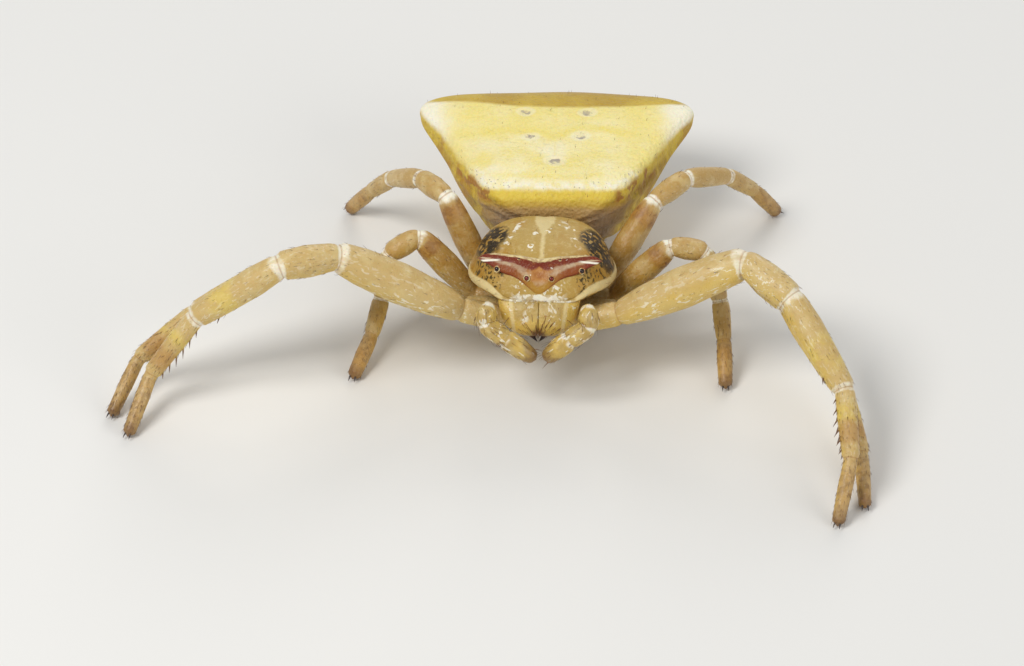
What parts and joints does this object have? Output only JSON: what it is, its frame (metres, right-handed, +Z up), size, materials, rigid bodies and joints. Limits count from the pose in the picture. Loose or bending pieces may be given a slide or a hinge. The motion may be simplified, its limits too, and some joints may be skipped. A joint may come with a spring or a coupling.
{
  "type": "crab spider",
  "caption": "Life-size female crab spider at rest, its long front legs held wide, with a horned eye ridge and a two-pointed abdomen.",
  "frame": {"origin": "middle of the bounding box, on the plane that the feet stand on", "axes": "+Z up, -Y the way the spider faces, +X to the spider's own left, along the span of its front legs"},
  "size_m": [0.019, 0.0141, 0.0043],
  "materials": {
    "body_skin": "waxy cuticle, tan and ochre with cream flecks",
    "abdomen_skin": "matte skin, cream with yellow lines and white points",
    "leg_skin": "waxy cuticle, beige with cream flecks",
    "hind_leg_skin": "waxy cuticle, orange tan with brown bands",
    "eye": "glossy, almost black"
  },
  "bodies": {
    "root": {"abdomen": "abdomen_skin", "carapace": "body_skin", "chelicera_left": "body_skin", "chelicera_right": "body_skin", "eye_anterior_lateral_left": "eye", "eye_anterior_lateral_right": "eye", "eye_anterior_median_left": "eye", "eye_anterior_median_right": "eye", "eye_posterior_lateral_left": "eye", "eye_posterior_lateral_right": "eye", "eye_posterior_median_left": "eye", "eye_posterior_median_right": "eye", "leg_1_left_coxa": "leg_skin", "leg_1_left_femur": "leg_skin", "leg_1_left_metatarsus": "leg_skin", "leg_1_left_patella": "leg_skin", "leg_1_left_tarsus": "leg_skin", "leg_1_left_tibia": "leg_skin", "leg_1_right_coxa": "leg_skin", "leg_1_right_femur": "leg_skin", "leg_1_right_metatarsus": "leg_skin", "leg_1_right_patella": "leg_skin", "leg_1_right_tarsus": "leg_skin", "leg_1_right_tibia": "leg_skin", "leg_2_left_coxa": "leg_skin", "leg_2_left_femur": "leg_skin", "leg_2_left_metatarsus": "leg_skin", "leg_2_left_patella": "leg_skin", "leg_2_left_tarsus": "leg_skin", "leg_2_left_tibia": "leg_skin", "leg_2_right_coxa": "leg_skin", "leg_2_right_femur": "leg_skin", "leg_2_right_metatarsus": "leg_skin", "leg_2_right_patella": "leg_skin", "leg_2_right_tarsus": "leg_skin", "leg_2_right_tibia": "leg_skin", "leg_3_left_coxa": "hind_leg_skin", "leg_3_left_femur": "hind_leg_skin", "leg_3_left_foot": "hind_leg_skin", "leg_3_left_tibia": "hind_leg_skin", "leg_3_right_coxa": "hind_leg_skin", "leg_3_right_femur": "hind_leg_skin", "leg_3_right_foot": "hind_leg_skin", "leg_3_right_tibia": "hind_leg_skin", "leg_4_left_coxa": "hind_leg_skin", "leg_4_left_femur": "hind_leg_skin", "leg_4_left_foot": "hind_leg_skin", "leg_4_left_tibia": "hind_leg_skin", "leg_4_right_coxa": "hind_leg_skin", "leg_4_right_femur": "hind_leg_skin", "leg_4_right_foot": "hind_leg_skin", "leg_4_right_tibia": "hind_leg_skin", "palp_left_lower": "leg_skin", "palp_left_upper": "leg_skin", "palp_right_lower": "leg_skin", "palp_right_upper": "leg_skin", "pedicel": "body_skin", "spinnerets": "hind_leg_skin", "sternum": "body_skin"}
  },
  "joints": []
}
